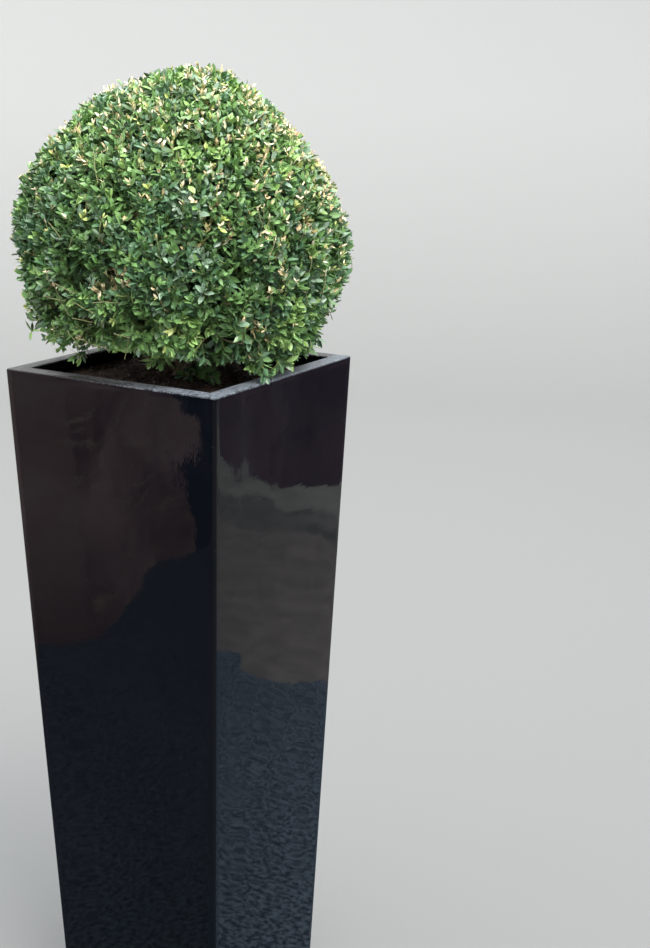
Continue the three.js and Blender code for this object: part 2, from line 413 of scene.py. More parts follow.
limbs = bezier(limb_from, limb_mid, limb_targets, 8)
limbs[:, 1:-1] += rng.normal(size=limbs[:, 1:-1].shape) * 0.0012
limb_r = np.linspace(0.0068, 0.0040, 8)[None] * np.ones((len(limbs), 1))
level1 = Level()
level1.add(limbs, limb_r, skip=1)
level1.close()


def grow(parent, dirs, share, count_pts, r0, r1, pull, wobble, skip):
    """A new level of branches to targets at a share of the crown's reach along dirs."""
    targets = CENTRE + dirs * (reach(dirs) * share)[:, None]
    inward = dirs * pull
    i = parent.nearest(targets, inward)
    start, tan = parent.p[i], parent.t[i]
    length = np.linalg.norm(targets - start, axis=1, keepdims=True)
    mid = start + unit(0.55 * tan + 0.45 * unit(targets - start) + 0.25 * UP) * length * 0.5
    lines = bezier(start, mid, targets, count_pts)
    lines[:, 1:-1] += rng.normal(size=lines[:, 1:-1].shape) * wobble
    first = np.minimum(parent.r[i] * 0.8, r0)
    radii = first[:, None] + (r1 - first)[:, None] * np.linspace(0, 1, count_pts)[None]
    level = Level()
    level.add(lines, radii, skip=skip)
    level.close()
    return level, lines, radii


d2 = spiral(90, 11)
d2 = d2[d2[:, 2] > -0.75]
level2, lines2, radii2 = grow(level1, d2, rng.uniform(0.52, 0.66, len(d2)), 7, 0.0036, 0.0021, 0.03, 0.0012, 2)
d3 = spiral(620, 12)
d3 = d3[d3[:, 2] > -0.82]
level3, lines3, radii3 = grow(level2, d3, rng.uniform(0.74, 0.84, len(d3)), 5, 0.0021, 0.0013, 0.02, 0.0010, 1)


# ------------------------------------------------------------------ shoots
broad, fine_field, third = waves(1), waves(2), waves(3)

# places on the crown: turn round the viewed outline from its right-hand side and lean towards the viewer, spread, degrees
YELLOW_SPOTS = [
    (122, 22, 2.6), (119, 19, 2.0), (121, 51, 1.8), (125, 54, 1.6), (131, 47, 1.9), (140, 69, 2.2), (172, 38, 1.6),
    (155, 54, 1.9), (85, 36, 1.8), (82, 6, 4.2), (90, 7, 2.8), (8, 52, 2.4), (48, 51, 2.2), (36, 60, 2.0), (35, 28, 2.2),
    (23, 43, 2.0), (24, 29, 2.2), (36, 80, 1.7), (225, 58, 2.8), (215, 58, 2.6),
]
TAN_SPOTS = [
    (98, 29, 1.8), (62, 62, 1.8), (38, 54, 2.6), (58, 73, 1.6), (34, 71, 1.9), (356, 55, 2.0), (4, 60, 1.9), (26, 24, 2.2),
    (30, 23, 1.8), (187, 68, 3.0), (200, 63, 2.6), (200, 69, 2.4), (314, 55, 2.6), (314, 47, 2.2), (139, 29, 1.8), (206, 28, 2.6),
    (219, 36, 2.0), (185, 57, 2.4), (192, 50, 2.0), (190, 63, 2.4), (132, 67, 1.6), (96, 64, 1.6), (42, 82, 1.8),
    (194, 65, 3.6), (198, 59, 2.8), (189, 59, 2.4),
]
CREAM_SPOTS = [
    (109, 32, 1.8), (113, 37, 1.8), (107, 39, 1.8), (95, 52, 1.8), (92, 54, 1.8), (98, 39, 1.8), (123, 58, 1.8), (81, 25, 4.0),
    (65, 25, 3.6), (50, 41, 3.6), (73, 60, 2.6), (25, 25, 2.6), (31, 39, 2.4), (26, 40, 2.4), (21, 34, 2.4), (330, 26, 2.6),
    (0, 21, 2.4), (111, 51, 1.7), (106, 53, 1.7), (79, 59, 1.8), (72, 59, 1.7), (9, 52, 1.3), (19, 63, 1.3), (2, 35, 1.3),
    (73, 70, 1.4), (73, 47, 2.0), (64, 41, 2.4),
]
# thin, dark places, where the shoots stand back: the last figure is how far, in metres
THIN = [
    (189, 52, 4.8, 0.066), (203, 29, 4.6, 0.062), (217, 47, 4.4, 0.062), (235, 63, 4.8, 0.064), (13, 75, 2.6, 0.038),
    (348, 70, 3.8, 0.044), (284, 81, 2.6, 0.040), (284, 57, 4.5, 0.050), (296, 55, 5.0, 0.056), (306, 54, 3.5, 0.045), (199, 40, 3.2, 0.046), (245, 66, 3.2, 0.044), (295, 66, 3.6, 0.038),
    (181, 49, 2.6, 0.040), (235, 52, 3.6, 0.050), (140, 30, 2.2, 0.028), (113, 29, 1.8, 0.022), (124, 39, 2.0, 0.026),
    (148, 28, 2.6, 0.030), (328, 60, 2.8, 0.034), (268, 67, 3.2, 0.034), (138, 64, 2.2, 0.026), (109, 80, 2.2, 0.024),
    (340, 47, 2.4, 0.030), (228, 52, 3.4, 0.046), (252, 74, 2.6, 0.036), (160, 60, 2.6, 0.028), (20, 65, 2.2, 0.026),
    (60, 72, 2.0, 0.024), (175, 66, 2.4, 0.030), (310, 72, 2.6, 0.032), (210, 40, 3.0, 0.044), (224, 38, 3.4, 0.046),
]
back = np.random.default_rng(5)
for spots, count in ((YELLOW_SPOTS, 16), (TAN_SPOTS, 18), (CREAM_SPOTS, 20)):
    spots += [(back.uniform(-30, 210), back.uniform(-80, 0), back.uniform(1.6, 3.0)) for _ in range(count)]
THIN += [(back.uniform(0, 360), back.uniform(-80, -5), back.uniform(2.5, 5), back.uniform(0.02, 0.036)) for _ in range(20)]


def aim(turn, lean):
    t, l = math.radians(turn), math.radians(lean)
    return RIGHT * math.cos(t) * math.cos(l) + TOWARDS * math.sin(l) + UP * math.sin(t) * math.cos(l)


def near_spots(d, spots):
    """1 at any of the spots, fading over each one's spread."""
    out = np.zeros(len(d))
    for spot in spots:
        ang = np.degrees(np.arccos(np.clip(d @ aim(spot[0], spot[1]), -1, 1)))
        out = np.maximum(out, np.exp(-((ang / spot[2]) ** 2)) * (spot[3] if len(spot) > 3 else 1.0))
    return out


SHOOTS = 6100
d4 = spiral(SHOOTS, 13)
keep = rng.uniform(size=len(d4)) < np.clip((reach(d4) / 0.25) ** 2, 0, 1) * np.where(d4[:, 2] < -0.74, 0.5, 1.0)
keep &= rng.uniform(size=len(keep)) > 18 * near_spots(d4, THIN)
# more open low on the viewed left
keep &= rng.uniform(size=len(keep)) > 0.42 * np.clip((-d4 @ RIGHT - 0.15) / 0.3, 0, 1) * np.clip((-d4[:, 2] - 0.15) / 0.3, 0, 1)
d4 = d4[keep]
n4 = surface_normal(d4)
on_surface = CENTRE + d4 * reach(d4)[:, None]
high, side = d4[:, 2], d4 @ RIGHT

# clipped shoots reach the surface and end in a cut; the others stand a little back
cut_share = (
    0.035
    + 0.17 * np.clip((high - 0.10) / 0.5, 0, 1)
    + 0.12 * np.clip((side + 0.1) / 0.6, 0, 1) * np.clip((high + 0.25) / 0.5, 0, 1)
    + 0.70 * near_spots(d4, CREAM_SPOTS)
)
cut_share *= np.clip((high + 0.5) / 0.3, 0, 1)
cut_share *= (0.55 + 0.9 * (fine_field(on_surface, 0.07) > 0.0)) * (1 - 0.6 * np.clip((-side - 0.45) / 0.3, 0, 1))
clipped = rng.uniform(size=len(d4)) < cut_share

# leggy shoots: bare, pale stems that run up along the surface to a dried end
leggy = (rng.uniform(size=len(d4)) < 0.018 + 0.022 * np.clip((high - 0.1) / 0.4, 0, 1)) & (high > -0.4) & (high < 0.85)
clipped |= leggy

thin = near_spots(d4, THIN)
depth = 0.0090 + 0.0050 * broad(on_surface, 0.10) + 0.0030 * third(on_surface, 0.045) + rng.gamma(2.0, 0.0028, len(d4))
depth = np.where(clipped, rng.uniform(0.0030, 0.0075, len(d4)), depth + 0.002) + thin * rng.uniform(0.5, 1.0, len(d4))
depth = np.clip(depth, 0.0025, 0.06)
# low on the viewed left a few shoots stand out past the rest
stray = np.random.default_rng(91)
depth -= (
    (stray.uniform(size=len(d4)) < 0.32)
    * np.clip((-side - 0.45) / 0.15, 0, 1)
    * np.clip((-high - 0.28) / 0.12, 0, 1)
    * (np.abs(d4 @ TOWARDS) < 0.5)
    * stray.uniform(0.007, 0.014, len(d4))
)
clipped &= thin < 0.012
leggy &= clipped

# box grows upright; low down the shoots lean out, and hang at the edge of the underside
lift = 0.80 * np.clip((high + 0.62) / 0.45, 0, 1) - 0.45 * np.clip((-high - 0.50) / 0.2, 0, 1)
axis = unit(0.62 * n4 + lift[:, None] * UP + 0.36 * rng.normal(size=d4.shape))
axis = np.where(leggy[:, None], unit(0.12 * n4 + 1.0 * UP + 0.26 * rng.normal(size=d4.shape)), axis)
length = rng.uniform(0.038, 0.062, len(d4))
length = np.where(leggy, rng.uniform(0.020, 0.038, len(d4)), length)
tip = CENTRE + d4 * (reach(d4) - depth)[:, None]
base = tip - axis * (length * np.where(leggy, 0.92, 0.62))[:, None] - d4 * (length * np.where(leggy, 0.14, 0.36))[:, None]
kind = np.zeros(len(d4), int)

# tufts that hang from the edge of the underside: to the right, towards the viewer and height, in metres
TUFTS = [
    (-0.152, 0.100, 1.142), (-0.160, 0.098, 1.146), (-0.047, 0.150, 1.146), (-0.030, 0.160, 1.146), (0.096, 0.160, 1.140),
    (0.106, 0.160, 1.136), (0.112, 0.170, 1.132), (0.117, 0.176, 1.131), (0.124, 0.165, 1.134), (0.132, 0.150, 1.137),
    (0.141, 0.143, 1.138), (0.150, 0.134, 1.138), (0.156, 0.122, 1.139), (0.165, 0.100, 1.144), (0.178, 0.080, 1.148),
    (0.190, 0.058, 1.150), (0.208, 0.028, 1.155),
]
more = np.random.default_rng(6)
t_tip = [RIGHT * a + TOWARDS * b + UP * c for a, b, c in TUFTS]
for _ in range(34):  # and all round the back
    a = math.radians(more.uniform(15, 170))
    t_tip.append((RIGHT * math.cos(a) - TOWARDS * math.sin(a)) * more.uniform(0.175, 0.2) + UP * more.uniform(1.132, 1.148))
t_tip = np.array(t_tip)
t_out = unit(t_tip * np.array([1, 1, 0]))
t_axis = unit(0.55 * t_out - 0.75 * UP + 0.30 * more.normal(size=t_tip.shape))
t_len = more.uniform(0.036, 0.050, len(t_tip))
t_base = t_tip - t_axis * (t_len * 0.55)[:, None] + UP * (t_len * 0.30)[:, None] - t_out * (t_len * 0.25)[:, None]

# a low sprig at the stem's foot
s_base = np.array([0.0200, -0.0130, 1.0985])
s_tip = np.array([
    [0.0215, -0.0400, 1.1075], [0.0290, -0.0300, 1.1160], [0.0410, -0.0140, 1.1215], [0.0500, -0.0200, 1.1120],
    [0.0590, -0.0230, 1.1190], [0.0760, -0.0210, 1.1070], [0.0660, -0.0150, 1.1120], [0.0380, -0.0320, 1.1060],
])
s_axis = unit(s_tip - s_base + 0.010 * more.normal(size=s_tip.shape) - 0.006 * UP)
s_len = np.linalg.norm(s_tip - s_base, axis=1)

main = len(d4)
tip = np.concatenate([tip, t_tip, s_tip])
axis = np.concatenate([axis, t_axis, s_axis])
length = np.concatenate([length, t_len, s_len])
base = np.concatenate([base, t_base, np.repeat(s_base[None], len(s_tip), 0)])
kind = np.concatenate([kind, np.full(len(t_tip), 1), np.full(len(s_tip), 2)])
n4 = np.concatenate([n4, t_out, np.repeat(unit(s_tip - s_base)[:, :], 1, 0)])
clipped = np.concatenate([clipped, np.zeros(len(tip) - main, bool)])
leggy = np.concatenate([leggy, np.zeros(len(tip) - main, bool)])
count = len(tip)
d4 = unit(tip - CENTRE)
high, side = d4[:, 2], d4 @ RIGHT
bend = tip - axis * (length * 0.5)[:, None]
bend = np.where((kind == 2)[:, None], 0.5 * (tip + base) + UP * 0.006, bend)
light = unit(0.75 * UP + 0.55 * n4)

near = level3.nearest(base, d4 * 0.004)
stalk_from, stalk_tan = level3.p[near], level3.t[near]
own = kind == 2
stalk_from = np.where(own[:, None], base - np.array([0.006, -0.004, 0.001]), stalk_from)
stalk_len = np.linalg.norm(base - stalk_from, axis=1, keepdims=True)
stalks = bezier(stalk_from, stalk_from + unit(stalk_tan + 0.6 * unit(base - stalk_from)) * stalk_len * 0.5 * ~own[:, None], base, 4)
shoot_lines = bezier(base, bend, tip, 5)
branchlet = np.where(own, 4 * len(d3), near // 4)  # shoots of one spray grow from one branchlet


# ------------------------------------------------------------------ leaf colours, dealt out by spray
COLOURS = {
    "deep": srgb(78, 106, 66),
    "blue": srgb(94, 130, 94),
    "mid": srgb(108, 145, 87),
    "green": srgb(123, 162, 97),
    "fresh": srgb(151, 185, 110),
    "yellow": srgb(188, 200, 119),
    # pale grey-green leaves: painted sheen, the sky's gloss on glossy leaves given as a leaf colour
    "painted_sheen": srgb(148, 173, 148),
    "bronze": srgb(155, 143, 98),
    "cream": srgb(245, 234, 200),
    "tan": srgb(214, 191, 150),
    "brown": srgb(121, 95, 70),
}
NAMES = list(COLOURS)
# Each zone's share of the eight leaf colours. The pale grey-green share is painted sheen, most of it on the viewed
# right; the top's lighter mix is partly painted light
ZONES = {
    #          deep blue  mid  green fresh yellow grey bronze
    "top": [0.03, 0.08, 0.20, 0.25, 0.23, 0.07, 0.12, 0.02],
    "middle": [0.13, 0.28, 0.32, 0.15, 0.03, 0.00, 0.08, 0.01],
    "bottom": [0.01, 0.03, 0.13, 0.37, 0.42, 0.01, 0.03, 0.00],
    # the viewed right carries the most pale grey-green leaves: painted sheen
    "right": [0.06, 0.22, 0.22, 0.16, 0.05, 0.01, 0.27, 0.01],
    "left": [0.26, 0.26, 0.27, 0.10, 0.04, 0.01, 0.04, 0.02],
    # darker leaves low on the viewed right, against the key light that falls there: painted shade
    "low right": [0.26, 0.26, 0.25, 0.12, 0.02, 0.01, 0.07, 0.01],
    "high left": [0.16, 0.24, 0.30, 0.16, 0.07, 0.02, 0.04, 0.01],
}
zone_weight = {
    "top": np.clip((high - 0.15) / 0.4, 0, 1) * 1.3 * (1 - 0.55 * np.clip((0.1 - side) / 0.5, 0, 1)),
    "middle": np.clip(1 - np.abs(high - 0.0) / 0.45, 0.05, 1),
    "bottom": np.clip((-high - 0.2) / 0.3, 0, 1) * 1.6,
    "right": np.clip((side - 0.45) / 0.3, 0, 1) * 1.3,
    "left": np.clip((-side - 0.45) / 0.3, 0, 1) * np.clip((0.5 - high) / 0.4, 0, 1) * 1.4,
    # the low right's darker mix, painted shade, weighs four times
    "low right": np.clip((side - 0.10) / 0.25, 0, 1) * np.clip((-high - 0.05) / 0.25, 0, 1) * 4.0,
    "high left": np.clip((0.05 - side) / 0.4, 0, 1) * np.clip((high - 0.1) / 0.3, 0, 1) * 2.2,
}
weights = sum(zone_weight[z][:, None] * np.array(ZONES[z])[None] for z in ZONES)
weights /= weights.sum(1, keepdims=True)
spray_draw = np.random.default_rng(77).uniform(size=len(d3) * 4 + 8)[branchlet]
draw = np.where(rng.uniform(size=count) < 0.5, spray_draw, rng.uniform(size=count))
young = np.minimum((draw[:, None] > np.cumsum(weights, 1)).sum(1), 7)
yellow_here = near_spots(d4, YELLOW_SPOTS)
young = np.where(rng.uniform(size=count) < yellow_here * 1.3 - 0.15, np.where(rng.uniform(size=count) < 0.6, 5, 4), young)
young = np.where((kind == 1) & (rng.uniform(size=count) < 0.8), rng.choice([3, 2, 4, 2, 1, 3], count), young)
young = np.where(kind == 2, rng.choice([1, 2, 3, 0], count), young)
old_choice = np.array([0, 0, 0, 1, 1, 2, 2, 2])  # deep, blue, mid
old = old_choice[rng.integers(0, len(old_choice), count)]
# low down the older leaves are often fresh or green, fewer of them on the viewed right, where darker leaves are painted
# shade
old = np.where((high < -0.35) & (rng.uniform(size=count) < 0.60 - 0.45 * np.clip((side - 0.05) / 0.25, 0, 1)), np.where(rng.uniform(size=count) < 0.3, 4, 3), old)
tan_here = near_spots(d4, TAN_SPOTS)
dry = (rng.uniform(size=count) < tan_here * 1.2 - 0.1) & (kind == 0)
clipped &= ~dry
# dead, brown shoots low on the viewed left and here and there inside
dead = (rng.uniform(size=count) < 0.012 + 0.10 * near_spots(d4, [(206, 28, 7), (219, 36, 6), (199, 45, 6)])) & (kind == 0)
stubby = rng.uniform(size=count) < 0.5


# ------------------------------------------------------------------ leaves
class Leaves:
    """Rows of leaves of every colour."""

    KEYS = ("p", "d", "n", "L", "W", "fold", "curl", "blunt", "c")

    def __init__(self):
        self.rows = {k: [] for k in self.KEYS}

    def add(self, p, d, n, L, W, fold, curl, blunt, c):
        count = len(p)
        d = unit(d)
        n = unit(n - (n * d).sum(1, keepdims=True) * d)
        for k, x in zip(self.KEYS, (p, d, n, L, W, fold, curl, blunt, c)):
            x = np.asarray(x)
            if k not in ("p", "d", "n"):
                x = np.broadcast_to(x, (count,)).copy()
            self.rows[k].append(x)

    def all(self):
        return {k: np.concatenate(v) for k, v in self.rows.items()}


leaves = Leaves()


def along(lines, s_from_tip, total):
    """Points and tangents on (n, 5, 3) lines at distances from the tip."""
    t = np.clip(1 - s_from_tip / total, 0, 1) * (lines.shape[1] - 1)
    i = np.clip(np.floor(t).astype(int), 0, lines.shape[1] - 2)
    f = (t - i)[:, None]
    r = np.arange(len(lines))
    a, b = lines[r, i], lines[r, i + 1]
    return a * (1 - f) + b * f, unit(b - a)


def turned(v, a, deg):
    """v turned about a by degrees (n,)."""
    x = np.radians(deg)[:, None]
    return v * np.cos(x) + np.cross(a, v) * np.sin(x) + a * (a * v).sum(1, keepdims=True) * (1 - np.cos(x))


start_side = unit(np.cross(axis, unit(rng.normal(size=axis.shape))))
scale = rng.uniform(0.84, 1.18, count) * (1 + 0.12 * np.clip((side - 0.4) / 0.4, 0, 1))
scale = scale * (1 - 0.20 * np.clip((-side - 0.10) / 0.3, 0, 1) * np.clip((-high - 0.10) / 0.25, 0, 1))
scale = np.where(kind == 1, scale * 1.05, np.where(kind == 2, scale * 0.85, scale))
line_len = np.linalg.norm(np.diff(shoot_lines, axis=1), axis=2).sum(1)
PAIRS = [
    # from the tip (mm), angle from the shoot (degrees), leaf length (mm)
    (0.6, 15, 8.0),
    (2.6, 26, 12.5),
    (6.5, 38, 16.5),
    (12.0, 47, 18.5),
    (18.5, 54, 19.0),
    (26.0, 60, 19.0),
    (34.0, 64, 18.0),
]
for k, (s_mm, ang, l_mm) in enumerate(PAIRS):
    keep_pair = np.ones(count, bool)
    if k <= 1:
        keep_pair &= ~clipped
    if k == 2:
        keep_pair &= ~(clipped & stubby)
    if k >= 5:
        keep_pair &= rng.uniform(size=count) < (0.75 if k == 5 else 0.5)
    keep_pair &= s_mm * 1e-3 < line_len * 0.95
    bare = np.where(clipped & (k <= 4), np.where(leggy, 0.92, 0.30), 0.05) + 0.35 * dead
    p, a = along(shoot_lines, s_mm * 1e-3 * scale, line_len)
    for half in (0, 1):
        live = keep_pair & (rng.uniform(size=count) > bare)
        turn = 180.0 * half + 90.0 * k + rng.normal(size=count) * 14
        out = turned(start_side, a, turn)
        out = unit(out - a * (a * out).sum(1, keepdims=True))
        th = np.radians(ang + 10 * np.clip((high - 0.05) / 0.4, 0, 1) + rng.normal(size=count) * 14)[:, None]
        d = a * np.cos(th) + out * np.sin(th)
        n = a * np.sin(th) - out * np.cos(th)
        n = unit(n + 0.22 * light + 0.34 * rng.normal(size=n.shape))
        d = unit(d + 0.14 * rng.normal(size=d.shape) - 0.08 * UP * (k > 2))
        L = np.minimum(l_mm * 1e-3 * scale * rng.uniform(0.80, 1.15, count), 0.0190)
        W = L * rng.uniform(0.190, 0.262, count)
        c = young if k < 3 else old
        if k == 3:
            c = np.where(rng.uniform(size=count) < 0.5, young, c)
        if k < 5:
            c = np.where(dry & (rng.uniform(size=count) < 0.85), rng.choice([9, 9, 8, 8, 7], count), c)
        if k < 3:  # odd dried tips, most of them high up and to the viewed right
            odd = 0.016 + 0.095 * np.clip((high - 0.15) / 0.5, 0, 1) + 0.040 * np.clip((side + 0.1) / 0.6, 0, 1) * (high > -0.3)
            c = np.where((kind == 0) & (rng.uniform(size=count) < odd), rng.choice([8, 9], count), c)
        c = np.where(dead, rng.choice([10, 10, 9, 7], count), c)
        # a leaf that stands past the clipped surface is cut off at it
        over = -depth_of(p + d * L[:, None])
        rise = np.maximum((d * n4).sum(1), 0.25)
        short = np.clip((over - 0.0025) / rise, 0, L * 0.5)
        topped = (kind == 0) & (high > -0.45)
        blunt = (short > 0.0020) & topped
        L = np.where(topped, L - short, L)
        W = np.where(dead, W * 0.7, W)
        small = np.where(c >= 8, rng.uniform(0.38, 0.64, count), np.where(c == 5, 0.74, np.where(c == 7, 0.84, 1.0)))
        L, W = L * small, W * small
        fold = rng.uniform(0.06, 0.45, count) + 0.4 * dead + 0.35 * (c >= 8)
        curl = rng.uniform(-0.08, 0.24, count) + 0.25 * dead - 0.4 * (c >= 8)
        leaves.add(p[live], d[live], n[live], L[live], W[live], fold[live], curl[live], blunt[live], c[live])

# the dried, curled remains of cut leaves on clipped shoots
ci = np.flatnonzero(clipped)
for k in range(6):
    live = ci[rng.uniform(size=len(ci)) < (0.97, 0.9, 0.6, 0.5, 0.35, 0.25)[k]]
    p, a = along(shoot_lines[live], np.full(len(live), 0.0006 + 0.0012 * k), line_len[live])
    out = turned(start_side[live], a, 180.0 * k + 45.0 * (k > 1) + rng.normal(size=len(live)) * 22)
    out = unit(out - a * (a * out).sum(1, keepdims=True))
    th = np.radians(rng.uniform(25, 100, len(live)))[:, None]
    d = a * np.cos(th) + out * np.sin(th)
    n = a * np.sin(th) - out * np.cos(th)
    L = rng.uniform(0.0045, 0.0088, len(live))
    c = rng.choice([8, 8, 8, 9, 9, 5], len(live))
    leaves.add(p, d, n, L, L * rng.uniform(0.17, 0.29, len(live)), rng.uniform(0.4, 0.9, len(live)), rng.uniform(-0.8, -0.2, len(live)), rng.uniform(size=len(live)) < 0.1, c)

L = leaves.all()


def build_leaves(rows, keep):
    """Verts (n*16, 3) and triangles (n*12, 3): each half of a leaf has its own vertices, so that the midrib stays a crease."""
    p, d, n = rows["p"][keep], rows["d"][keep], rows["n"][keep]
    L, W, fold, curl, blunt = (rows[k][keep] for k in ("L", "W", "fold", "curl", "blunt"))
    w = np.cross(d, n)
    t_mid = np.where(blunt[:, None], [[0.0, 0.36, 0.72, 1.0]], [[0.0, 0.34, 0.68, 1.0]])
    t_side = np.where(blunt[:, None], [[0.10, 0.42, 0.76, 1.0]], [[0.12, 0.34, 0.62, 0.87]])
    w_side = np.where(blunt[:, None], [[0.36, 0.92, 1.0, 0.80]], [[0.42, 0.95, 0.93, 0.44]])

    def at(t, s):
        x = t * L[:, None]
        drop = curl[:, None] * t**2 * L[:, None]
        lift = fold[:, None] * np.abs(s) * W[:, None] * (1 - 0.35 * np.abs(s))
        return (
            p[:, None] + d[:, None] * x[..., None] + w[:, None] * (s * W[:, None])[..., None] + n[:, None] * (lift - drop)[..., None]
        )

    mid = at(t_mid, np.zeros_like(t_mid))
    a, b = at(t_side, w_side), at(t_side, -w_side)
    co = np.concatenate([mid, a, mid, b], 1)
    half = np.array([[0, 4, 1], [4, 5, 1], [5, 2, 1], [5, 6, 2], [6, 3, 2], [6, 7, 3]])
    tri = np.concatenate([half, half[:, ::-1] + 8])
    faces = (np.arange(len(p))[:, None, None] * 16 + tri[None]).reshape(-1, 3)
    return co.reshape(-1, 3), faces


MAX_LEAVES = 16000  # in one piece: 192,000 triangles
SHINE = {"cream": (0.75, 0.0), "tan": (0.8, 0.0), "brown": (0.85, 0.0), "painted_sheen": (0.40, 0.12), "blue": (0.34, 0.4), "mid": (0.36, 0.35), "deep": (0.38, 0.3)}
crown_pieces = []
for c, name in enumerate(NAMES):
    mine = np.flatnonzero(L["c"] == c)
    if not len(mine):
        continue
    rough, coat = SHINE.get(name, (0.40, 0.15))
    mat = leaf_material("leaf_" + name, COLOURS[name], rough, coat)
    parts = int(math.ceil(len(mine) / MAX_LEAVES))
    for part, chunk in enumerate(np.array_split(mine, parts)):
        co, faces = build_leaves(L, chunk)
        crown_pieces.append(mesh_object(f"leaves_{name}" + (f"_{part + 1}" if parts > 1 else ""), co, faces, True, mat))
print("leaves", len(L["c"]), {n: int((L["c"] == i).sum()) for i, n in enumerate(NAMES)})

# dried edges of cut leaves
cut = np.flatnonzero(L["blunt"] & (L["c"] < 8) & (rng.uniform(size=len(L["c"])) < 0.75))


def build_edges(rows, keep):
    p, d, n = rows["p"][keep], rows["d"][keep], rows["n"][keep]
    Ln, W, fold, curl = (rows[k][keep] for k in ("L", "W", "fold", "curl"))
    w = np.cross(d, n)
    more = rng.uniform(0.0008, 0.0022, len(keep))
    cols = []
    for s in (-0.92, 0.0, 0.92):
        lift = fold * abs(s) * W * (1 - 0.35 * abs(s))
        a = p + d * Ln[:, None] + w * (s * W)[:, None] + n * (lift - curl * Ln)[:, None]
        b = a + d * (more * (1.0 if s == 0 else 0.75))[:, None] + n * (more * 0.5)[:, None] - w * (s * W * 0.12)[:, None]
        cols += [a, b]
    co = np.stack(cols, 1)
    q = np.array([[0, 2, 3, 1], [2, 4, 5, 3]])
    return co.reshape(-1, 3), (np.arange(len(keep))[:, None, None] * 6 + q[None]).reshape(-1, 4)


co, faces = build_edges(L, cut)
crown_pieces.append(mesh_object("cut_leaf_edges", co, faces, True, leaf_material("leaf_cut_edge", srgb(214, 202, 162), 0.75, 0.0)))
print("cut edges", len(cut))

# ------------------------------------------------------------------ twigs and limbs
twig_green = leaf_material("twig_green", srgb(136, 150, 84), 0.5, 0.1)
twig_brown = bark_material("twig_bark", srgb(84, 70, 50), srgb(150, 132, 100), 2.0)
v1, q1 = tubes(shoot_lines[~leggy], np.linspace(0.0010, 0.0007, 5)[None] * np.ones((int((~leggy).sum()), 1)), 3)
crown_pieces.append(mesh_object("shoot_stems", v1, q1, True, twig_green))
# each bare twig: from and to, both as turn and lean, and how deep each end lies, in millimetres
BARE = [
    (197, 37, 201, 46, 2, 6), (202, 50, 212, 55, 2, 8), (213, 40, 222, 41, 4, 0), (227, 57, 236, 59, 3, 6), (168, 54, 176, 52, 2, 5),
    (166, 42, 172, 48, 2, 8), (209, 46, 216, 52, 3, 10), (199, 43, 208, 44, 4, 8), (206, 58, 214, 66, 2, 6), (240, 50, 236, 58, 2, 8),
    (91, 55, 88, 62, 1, 6), (111, 54, 114, 59, 1, 5), (129, 42, 138, 53, 1, 6), (224, 46, 232, 48, 3, 8), (192, 44, 199, 52, 3, 8),
]
bare_ends = np.array([[CENTRE + d * (reach(d[None])[0] - k * 1e-3) for d, k in ((aim(a, b), e), (aim(c, d_), f))] for a, b, c, d_, e, f in BARE])
bare_mid = bare_ends.mean(1) + rng.normal(size=(len(BARE), 3)) * 0.0016
bare_lines = bezier(bare_ends[:, 0], bare_mid, bare_ends[:, 1], 5)
pale_lines = np.concatenate([shoot_lines[leggy], bare_lines])
pale_lines[:, 1:-1] += rng.normal(size=(len(pale_lines), 3, 3)) * 0.0005
v0, q0 = tubes(pale_lines, np.linspace(0.00070, 0.00055, 5)[None] * np.ones((len(pale_lines), 1)), 5)
crown_pieces.append(mesh_object("pale_stems", v0, q0, True, bark_material("pale_stem", srgb(104, 106, 66), srgb(156, 156, 108), 3.0)))
stalk_r = np.linspace(0.0012, 0.0010, 4)[None] * np.ones((count, 1))
v2, q2 = tubes(stalks, stalk_r, 3)
v3, q3 = tubes(lines3, radii3, 5)
crown_pieces.append(mesh_object("twigs", np.concatenate([v2, v3]), np.concatenate([q2, q3 + len(v2)]), True, twig_brown))
bark = bark_material("bark", srgb(78, 68, 52), srgb(150, 136, 108))


def ridged(lines, radii, sides, seed):
    field = waves(seed, 20)
    n, k, _ = lines.shape
    a = np.arange(sides) * 2 * np.pi / sides
    probe = lines[:, :, None, :] * np.array([1, 1, 0.3]) + 0.01 * np.stack([np.cos(a), np.sin(a), 0 * a], -1)[None, None]
    return 1 + 0.07 * field(probe, 0.008) + 0.04 * field(probe + 3, 0.02)


v4, q4 = tubes(lines2, radii2, 6, ridged(lines2, radii2, 6, 5))
v5, q5 = tubes(limbs, limb_r, 10, ridged(limbs, limb_r, 10, 6))
crown_pieces.append(mesh_object("inner_boughs", np.concatenate([v4, v5]), np.concatenate([q4, q5 + len(v4)]), True, bark))

for piece in crown_pieces:
    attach(piece, BODY)
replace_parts(crown_pieces[0], "clipped_crown")

# stem, with its flare and bark
zs = np.concatenate([STEM_FOOT + 0.018 * np.linspace(0, 1, 12), np.linspace(STEM_FOOT + 0.020, STEM_TOP, 40)])
sides = 48
line = stem_axis(zs)
t = np.clip((zs - STEM_FOOT) / 0.018, 0, 1)
flare = (1 - t) ** 2
r = np.where(t < 1, 0.013 + 0.008 * flare, 0.013 - 0.004 * (zs - STEM_FOOT - 0.018) / (STEM_TOP - STEM_FOOT - 0.018))
a = np.arange(sides) * 2 * np.pi / sides
field_a, field_b = waves(8, 24), waves(9, 24)
ring = r[:, None] * (1 + 0.16 * flare[:, None] * np.cos(5 * a + 0.7)[None])
probe = np.stack([np.cos(a)[None] * r[:, None], np.sin(a)[None] * r[:, None], zs[:, None] * 0.25 + 0 * a[None]], -1)
ring *= 1 + 0.045 * field_a(probe, 0.009) + 0.03 * field_b(probe, 0.02)
ring = np.minimum(ring, r[:, None] * (1 + 0.16 * flare[:, None] * np.cos(5 * a + 0.7)[None]) * 1.02)
